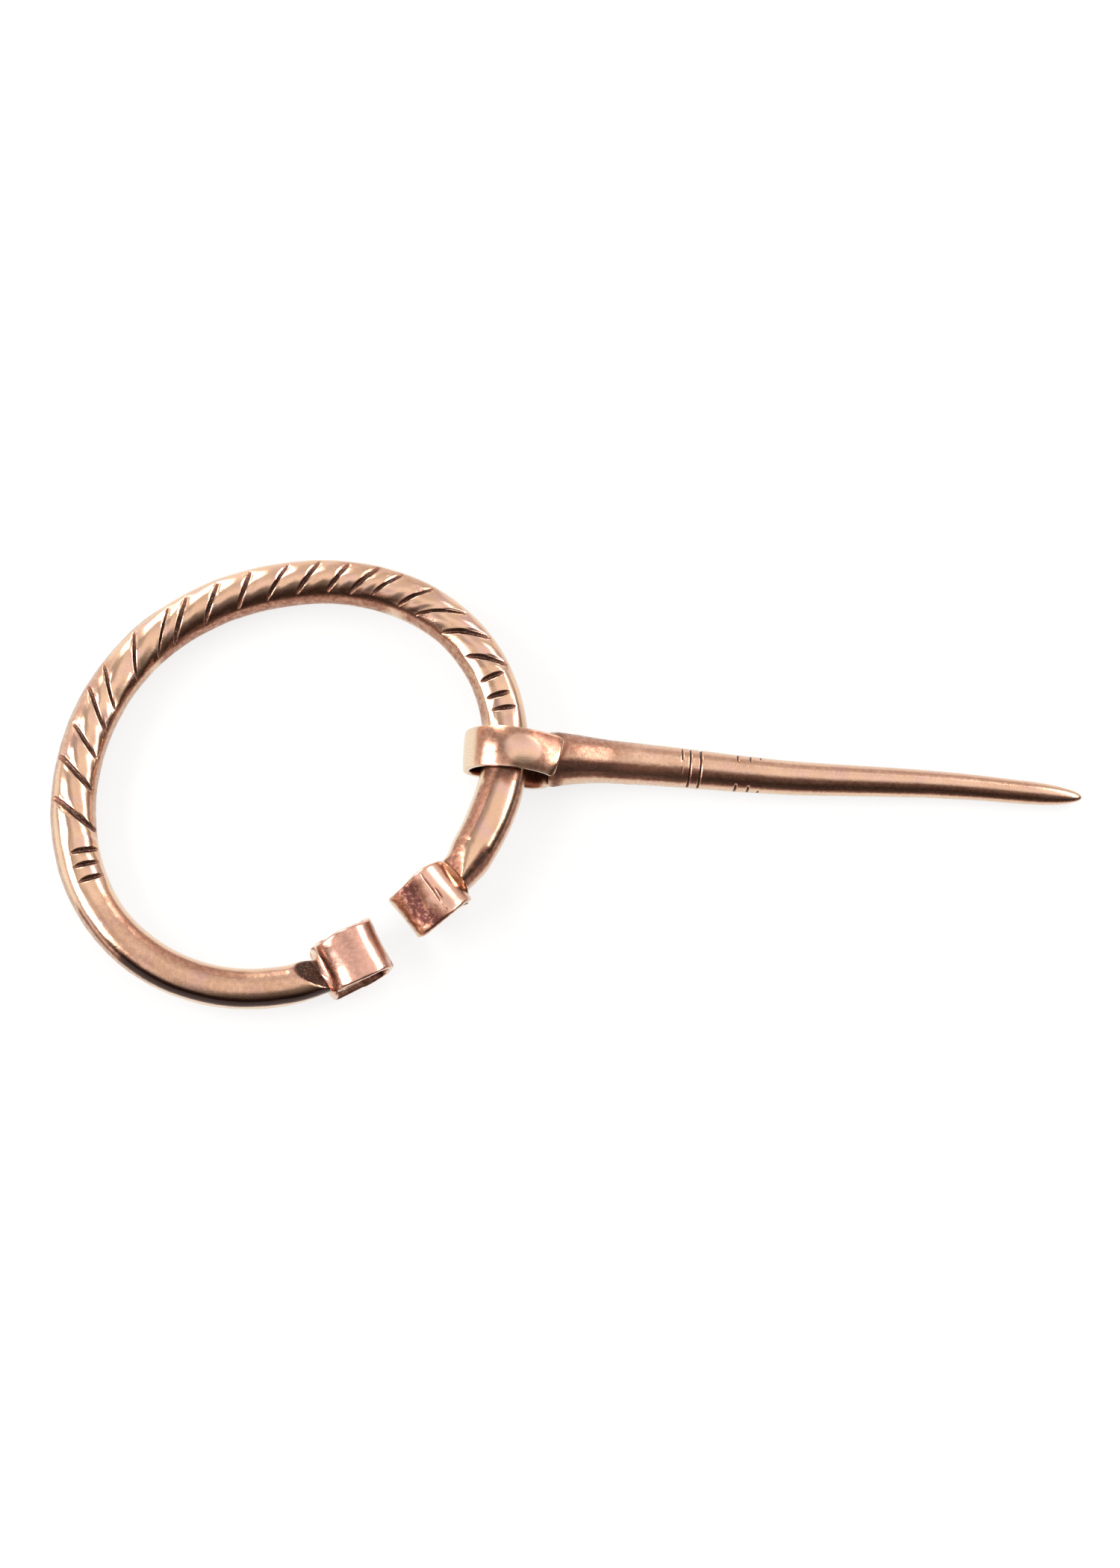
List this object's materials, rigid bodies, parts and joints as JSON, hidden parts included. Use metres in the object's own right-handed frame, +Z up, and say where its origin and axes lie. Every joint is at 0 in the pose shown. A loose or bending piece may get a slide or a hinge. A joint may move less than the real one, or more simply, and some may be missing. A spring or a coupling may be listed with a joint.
{
  "type": "penannular brooch",
  "caption": "Open bronze hoop with slanting cuts and scrolled ends, and a tapered pin whose head wraps round the hoop and swings on it.",
  "frame": {"origin": "middle of the bounding box's underside, on the surface the brooch lies on", "axes": "+X to the pin's tip, +Y away from the gap between the scrolls, +Z up"},
  "size_m": [0.0882, 0.039, 0.0059],
  "materials": {
    "hoop_bronze": "polished reddish bronze, dark brown in the cuts and scrolls",
    "pin_bronze": "polished golden bronze, finely granular towards the head"
  },
  "bodies": {
    "hoop": {"hoop": "hoop_bronze"},
    "pin": {"pin": "pin_bronze"}
  },
  "joints": [
    {"name": "pin_swing", "type": "hinge", "parent": "hoop", "child": "pin", "pos_m": [-0.00614, 0.003, 0.00294], "axis": [-0.0557, -0.9984, 0], "range_deg": [-169, 179]}
  ]
}
